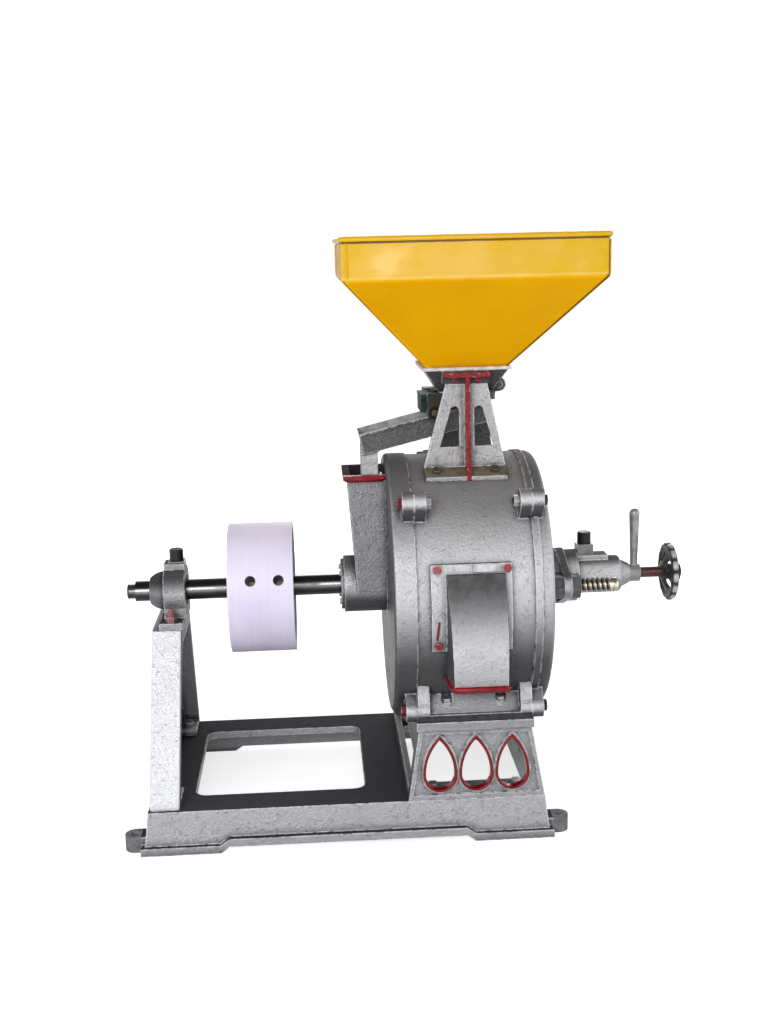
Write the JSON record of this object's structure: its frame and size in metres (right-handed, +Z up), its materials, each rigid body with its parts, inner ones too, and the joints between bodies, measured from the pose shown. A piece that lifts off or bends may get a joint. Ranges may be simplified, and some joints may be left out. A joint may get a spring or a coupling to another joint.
{
  "type": "vertical stone flour mill",
  "caption": "Vertical stone flour mill on an open cast base, with belt pulley, drum casing, sloped feed shoe, square hopper, front flour spout and a handwheel that sets the stone gap.",
  "frame": {"origin": "on the floor, at the centre of the four foot bolt holes", "axes": "+X along the shaft from the pulley to the handwheel, +Y to the back, +Z up; the flour spout faces -Y"},
  "size_m": [1.1052, 0.553, 1.112],
  "materials": {
    "silver_casting": "aluminium paint on rough cast iron",
    "red_bolts": "red enamel",
    "steel": "turned or rolled steel",
    "dark_steel": "blackened steel",
    "brass": "bored bush",
    "black_caps": "black paint",
    "millstone": "dressed grit",
    "bare_iron": "machined casting",
    "pulley_iron": "turned and painted pale",
    "stud_steel": "oiled brown steel",
    "handwheel_iron": "dark cast iron",
    "yellow_sheet": "glossy yellow paint on sheet",
    "gate_paint": "dark green grey paint",
    "dark_sheet": "grey paint on sheet"
  },
  "bodies": {
    "frame": {"base_frame": "silver_casting", "outboard_pedestal": "silver_casting", "pedestal_bolts": "steel", "bearing_housing": "silver_casting", "bearing_end_cover": "silver_casting", "outboard_bush": "brass", "bearing_bolts": "red_bolts", "outboard_grease_cup": "steel", "mill_stand": "silver_casting", "stand_bolts": "steel", "casing_body": "silver_casting", "casing_foot_bolts": "steel", "feed_side_cover": "silver_casting", "feed_cover_bolts": "red_bolts", "feed_cover_nuts": "steel", "wheel_side_cover": "silver_casting", "wheel_cover_bolts": "dark_steel", "wheel_cover_nuts": "steel", "feed_side_bush": "brass", "wheel_side_bush": "brass", "boss_end_plate": "silver_casting", "boss_plate_screws": "steel", "feed_inlet_chute": "silver_casting", "bed_stone": "millstone", "bed_stone_bolts": "steel", "adjuster_housing": "silver_casting", "adjuster_studs": "stud_steel", "adjuster_nuts": "stud_steel", "adjuster_grease_cup": "steel", "flour_outlet": "silver_casting", "outlet_bolts": "red_bolts", "hopper_bracket_front": "silver_casting", "hopper_bracket_rear": "silver_casting", "bracket_foot_bolts": "dark_steel", "bracket_top_bolts": "red_bolts", "hopper_throat": "silver_casting", "hopper": "yellow_sheet", "shoe_hangers": "dark_sheet", "shoe_pivot_bolts": "dark_steel"},
    "thrust_carriage": {"thrust_sleeve": "steel", "thrust_bearing": "steel"},
    "rotor": {"main_shaft": "steel", "pulley": "pulley_iron", "shaft_keys": "steel", "pulley_set_screws": "dark_steel", "runner_plate": "bare_iron", "runner_stone": "millstone", "runner_stone_bolts": "steel", "feed_worm": "bare_iron", "flour_sweepers": "steel"},
    "handwheel": {"adjusting_screw": "stud_steel", "handwheel": "handwheel_iron", "handwheel_nut": "dark_steel"},
    "lock_lever": {"lock_lever": "steel"},
    "feed_shoe": {"feed_shoe": "dark_sheet"},
    "feed_gate": {"feed_gate": "gate_paint"},
    "outboard_cap": {"outboard_grease_cap": "black_caps"},
    "adjuster_cap": {"adjuster_grease_cap": "black_caps"}
  },
  "joints": [
    {"name": "stone_gap", "type": "slide", "parent": "frame", "child": "thrust_carriage", "axis": [1, 0, 0], "range_m": [-0.0025, 0.005]},
    {"name": "shaft_spin", "type": "hinge", "parent": "thrust_carriage", "child": "rotor", "pos_m": [0, 0, 0.44], "axis": [1, 0, 0], "continuous": true},
    {"name": "handwheel_turn", "type": "hinge", "parent": "thrust_carriage", "child": "handwheel", "pos_m": [0, 0, 0.44], "axis": [1, 0, 0], "range_deg": [-180, 360]},
    {"name": "lock_lever_turn", "type": "hinge", "parent": "frame", "child": "lock_lever", "pos_m": [0, 0, 0.44], "axis": [1, 0, 0], "range_deg": [-10, 80]},
    {"name": "shoe_rock", "type": "hinge", "parent": "frame", "child": "feed_shoe", "pos_m": [0.19, 0, 0.784], "axis": [0, 1, 0], "range_deg": [-1.5, 1.5]},
    {"name": "gate_slide", "type": "slide", "parent": "frame", "child": "feed_gate", "axis": [-1, 0, 0], "range_m": [0, 0.055]},
    {"name": "outboard_cap_turn", "type": "hinge", "parent": "frame", "child": "outboard_cap", "pos_m": [-0.317, 0, 0.51], "axis": [0, 0, 1], "continuous": true},
    {"name": "adjuster_cap_turn", "type": "hinge", "parent": "frame", "child": "adjuster_cap", "pos_m": [0.491, 0, 0.51], "axis": [0, 0, 1], "continuous": true}
  ],
  "couplings": [
    {"joint": "handwheel_turn", "follows": "stone_gap", "rad_per_m": 1256.6}
  ]
}
